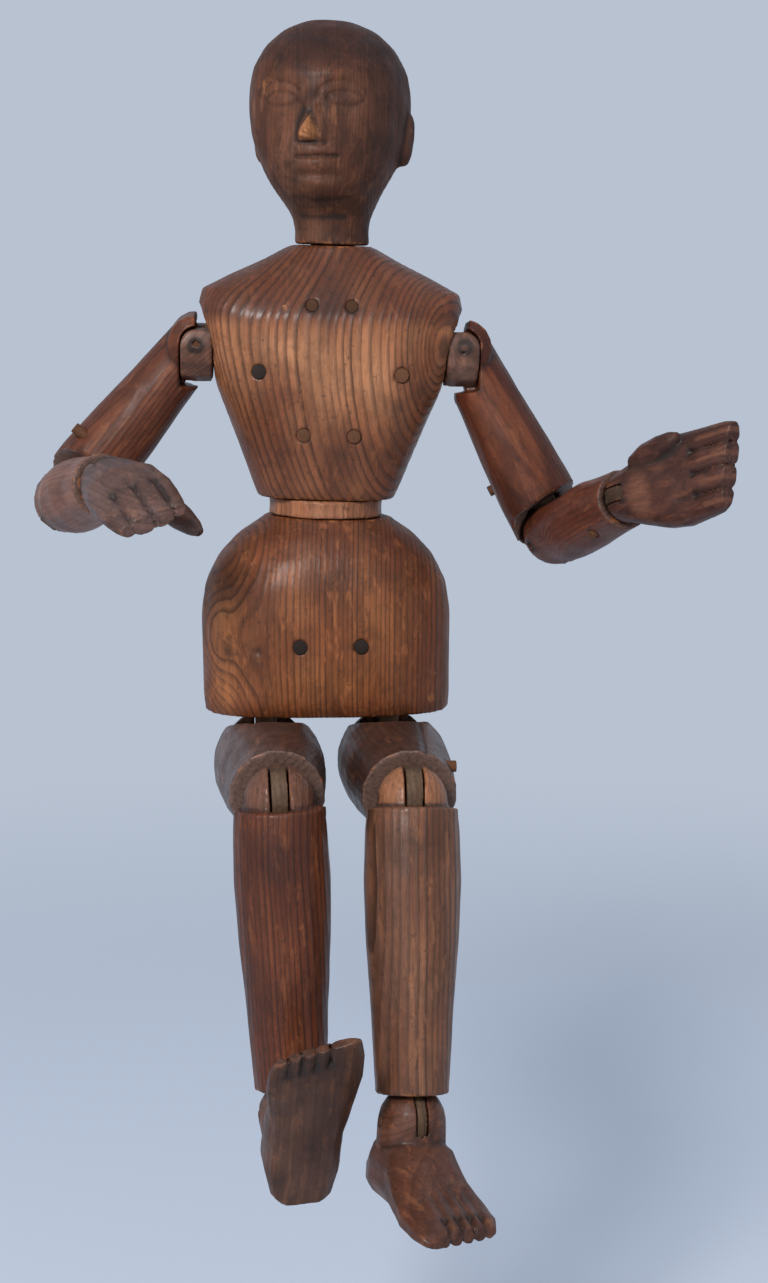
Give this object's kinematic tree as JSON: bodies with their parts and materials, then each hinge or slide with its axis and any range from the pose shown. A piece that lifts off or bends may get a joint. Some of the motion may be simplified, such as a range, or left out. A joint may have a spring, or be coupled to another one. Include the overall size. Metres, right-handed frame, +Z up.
{
  "type": "wooden artist mannequin",
  "caption": "Carved wooden lay figure seated with hanging legs: egg-shaped head, block torso and pelvis, turned limbs on pinned swivel joints that turn and bend.",
  "frame": {"origin": "middle of the underside of the pelvis, where the figure sits", "axes": "+Z up, the figure faces -Y, its own left is +X"},
  "size_m": [0.3048, 0.2903, 0.5],
  "materials": {
    "stained_wood": "worn wax over dark stain",
    "raw_wood": "bare, handled",
    "dowel_wood": "dark stain"
  },
  "bodies": {
    "pelvis": {"pelvis": "stained_wood", "waist_spindle": "raw_wood", "hip_keeper_R": "dowel_wood", "hip_keeper_L": "dowel_wood"},
    "torso": {"torso": "stained_wood", "neck_pin_R": "dowel_wood", "neck_pin_L": "dowel_wood", "waist_pin_R": "dowel_wood", "waist_pin_L": "dowel_wood", "shoulder_keeper_R": "dowel_wood", "shoulder_keeper_L": "dowel_wood"},
    "head": {"head": "stained_wood"},
    "shoulder_swivel_R": {"shoulder_swivel_R": "stained_wood", "shoulder_pin_R": "dowel_wood"},
    "upper_arm_R": {"upper_arm_R": "stained_wood", "elbow_keeper_R": "dowel_wood"},
    "elbow_swivel_R": {"elbow_swivel_R": "raw_wood"},
    "forearm_R": {"forearm_R": "stained_wood", "elbow_pin_R": "dowel_wood", "wrist_keeper_R": "dowel_wood"},
    "wrist_swivel_R": {"wrist_swivel_R": "raw_wood"},
    "hand_R": {"hand_R": "stained_wood", "wrist_pin_R": "dowel_wood"},
    "hip_swivel_R": {"hip_swivel_R": "raw_wood"},
    "thigh_R": {"thigh_R": "stained_wood", "hip_pin_R": "dowel_wood", "knee_keeper_R": "dowel_wood"},
    "knee_swivel_R": {"knee_swivel_R": "raw_wood"},
    "shin_R": {"shin_R": "stained_wood", "knee_pin_R": "dowel_wood", "ankle_keeper_R": "dowel_wood"},
    "ankle_swivel_R": {"ankle_swivel_R": "raw_wood"},
    "foot_R": {"foot_R": "stained_wood", "ankle_pin_R": "dowel_wood"},
    "shoulder_swivel_L": {"shoulder_swivel_L": "stained_wood", "shoulder_pin_L": "dowel_wood"},
    "upper_arm_L": {"upper_arm_L": "stained_wood", "elbow_keeper_L": "dowel_wood"},
    "elbow_swivel_L": {"elbow_swivel_L": "raw_wood"},
    "forearm_L": {"forearm_L": "stained_wood", "elbow_pin_L": "dowel_wood", "wrist_keeper_L": "dowel_wood"},
    "wrist_swivel_L": {"wrist_swivel_L": "raw_wood"},
    "hand_L": {"hand_L": "stained_wood", "wrist_pin_L": "dowel_wood"},
    "hip_swivel_L": {"hip_swivel_L": "raw_wood"},
    "thigh_L": {"thigh_L": "stained_wood", "hip_pin_L": "dowel_wood", "knee_keeper_L": "dowel_wood"},
    "knee_swivel_L": {"knee_swivel_L": "raw_wood"},
    "shin_L": {"shin_L": "stained_wood", "knee_pin_L": "dowel_wood", "ankle_keeper_L": "dowel_wood"},
    "ankle_swivel_L": {"ankle_swivel_L": "raw_wood"},
    "foot_L": {"foot_L": "stained_wood", "ankle_pin_L": "dowel_wood"}
  },
  "joints": [
    {"name": "waist_turn", "type": "hinge", "parent": "pelvis", "child": "torso", "pos_m": [0.00025, 0, 0.1], "axis": [0.0279, 0, 0.9996], "range_deg": [-40, 40]},
    {"name": "neck_turn", "type": "hinge", "parent": "torso", "child": "head", "pos_m": [0.00349, 0, 0.21595], "axis": [0.0279, 0, 0.9996], "range_deg": [-70, 70]},
    {"name": "shoulder_swing_R", "type": "hinge", "parent": "torso", "child": "shoulder_swivel_R", "pos_m": [-0.05952, 0.00216, 0.17219], "axis": [-0.999, 0.0349, 0.0279], "range_deg": [-30, 60]},
    {"name": "shoulder_raise_R", "type": "hinge", "parent": "shoulder_swivel_R", "child": "upper_arm_R", "pos_m": [-0.05952, 0.00216, 0.17219], "axis": [-0.0367, -0.997, -0.0688], "range_deg": [-28, 0.3]},
    {"name": "elbow_turn_R", "type": "hinge", "parent": "upper_arm_R", "child": "elbow_swivel_R", "pos_m": [-0.12138, 0.00956, 0.09785], "axis": [-0.6378, 0.0764, -0.7664], "range_deg": [-12, 12]},
    {"name": "elbow_bend_R", "type": "hinge", "parent": "elbow_swivel_R", "child": "forearm_R", "pos_m": [-0.12138, 0.00956, 0.09785], "axis": [-0.7696, -0.1025, 0.6302], "range_deg": [-110, 2]},
    {"name": "wrist_turn_R", "type": "hinge", "parent": "forearm_R", "child": "wrist_swivel_R", "pos_m": [-0.09934, -0.06702, 0.11232], "axis": [0.2722, -0.9455, 0.1786], "range_deg": [-90, 90]},
    {"name": "wrist_bend_R", "type": "hinge", "parent": "wrist_swivel_R", "child": "hand_R", "pos_m": [-0.09934, -0.06702, 0.11232], "axis": [0.885, 0.3189, 0.3393], "range_deg": [-60, 33]},
    {"name": "hip_turn_R", "type": "hinge", "parent": "pelvis", "child": "hip_swivel_R", "pos_m": [-0.029, 0, -0.0235], "axis": [0, 0, -1], "range_deg": [-2.5, 25]},
    {"name": "hip_bend_R", "type": "hinge", "parent": "hip_swivel_R", "child": "thigh_R", "pos_m": [-0.029, 0, -0.0235], "axis": [-0.9999, -0.0105, 0], "range_deg": [-90, 2]},
    {"name": "knee_turn_R", "type": "hinge", "parent": "thigh_R", "child": "knee_swivel_R", "pos_m": [-0.02758, -0.13575, -0.01543], "axis": [0.0105, -0.9982, 0.0593], "range_deg": [-30, 2.5]},
    {"name": "knee_bend_R", "type": "hinge", "parent": "knee_swivel_R", "child": "shin_R", "pos_m": [-0.02758, -0.13575, -0.01543], "axis": [0.9994, 0.0123, 0.0314], "range_deg": [-86, 5]},
    {"name": "ankle_turn_R", "type": "hinge", "parent": "shin_R", "child": "ankle_swivel_R", "pos_m": [-0.02324, -0.14855, -0.14875], "axis": [0.0324, -0.0955, -0.9949], "range_deg": [-15, 40]},
    {"name": "ankle_bend_R", "type": "hinge", "parent": "ankle_swivel_R", "child": "foot_R", "pos_m": [-0.02324, -0.14855, -0.14875], "axis": [0.9884, 0.1507, 0.0177], "range_deg": [-0.5, 85]},
    {"name": "shoulder_swing_L", "type": "hinge", "parent": "torso", "child": "shoulder_swivel_L", "pos_m": [0.06396, -0.00216, 0.16875], "axis": [0.999, -0.0349, -0.0279], "range_deg": [-60, 60]},
    {"name": "shoulder_raise_L", "type": "hinge", "parent": "shoulder_swivel_L", "child": "upper_arm_L", "pos_m": [0.06396, -0.00216, 0.16875], "axis": [0.0334, 0.998, -0.0533], "range_deg": [-36, 0.3]},
    {"name": "elbow_turn_L", "type": "hinge", "parent": "upper_arm_L", "child": "elbow_swivel_L", "pos_m": [0.10842, -0.00823, 0.08275], "axis": [0.4583, -0.0627, -0.8866], "range_deg": [-16, 16]},
    {"name": "elbow_bend_L", "type": "hinge", "parent": "elbow_swivel_L", "child": "forearm_L", "pos_m": [0.10842, -0.00823, 0.08275], "axis": [-0.8306, -0.3852, -0.4022], "range_deg": [-92, 3]},
    {"name": "wrist_turn_L", "type": "hinge", "parent": "forearm_L", "child": "wrist_swivel_L", "pos_m": [0.13098, -0.08217, 0.10696], "axis": [0.2785, -0.9127, 0.299], "range_deg": [-90, 90]},
    {"name": "wrist_bend_L", "type": "hinge", "parent": "wrist_swivel_L", "child": "hand_L", "pos_m": [0.13098, -0.08217, 0.10696], "axis": [0.0693, -0.2914, -0.9541], "range_deg": [-35, 60]},
    {"name": "hip_turn_L", "type": "hinge", "parent": "pelvis", "child": "hip_swivel_L", "pos_m": [0.029, 0, -0.0235], "axis": [0, 0, -1], "range_deg": [-25, 2.5]},
    {"name": "hip_bend_L", "type": "hinge", "parent": "hip_swivel_L", "child": "thigh_L", "pos_m": [0.029, 0, -0.0235], "axis": [-1, 0, 0], "range_deg": [-90, 2]},
    {"name": "knee_turn_L", "type": "hinge", "parent": "thigh_L", "child": "knee_swivel_L", "pos_m": [0.029, -0.13581, -0.01638], "axis": [0, -0.9986, 0.0523], "range_deg": [-2.5, 30]},
    {"name": "knee_bend_L", "type": "hinge", "parent": "knee_swivel_L", "child": "shin_L", "pos_m": [0.029, -0.13581, -0.01638], "axis": [0.9998, -0.0011, -0.0209], "range_deg": [-78, 12]},
    {"name": "ankle_turn_L", "type": "hinge", "parent": "shin_L", "child": "ankle_swivel_L", "pos_m": [0.02625, -0.16823, -0.14637], "axis": [-0.0206, -0.2419, -0.9701], "range_deg": [-40, 40]},
    {"name": "ankle_bend_L", "type": "hinge", "parent": "ankle_swivel_L", "child": "foot_L", "pos_m": [0.02625, -0.16823, -0.14637], "axis": [0.9674, 0.2402, -0.0804], "range_deg": [-60, 45]}
  ]
}
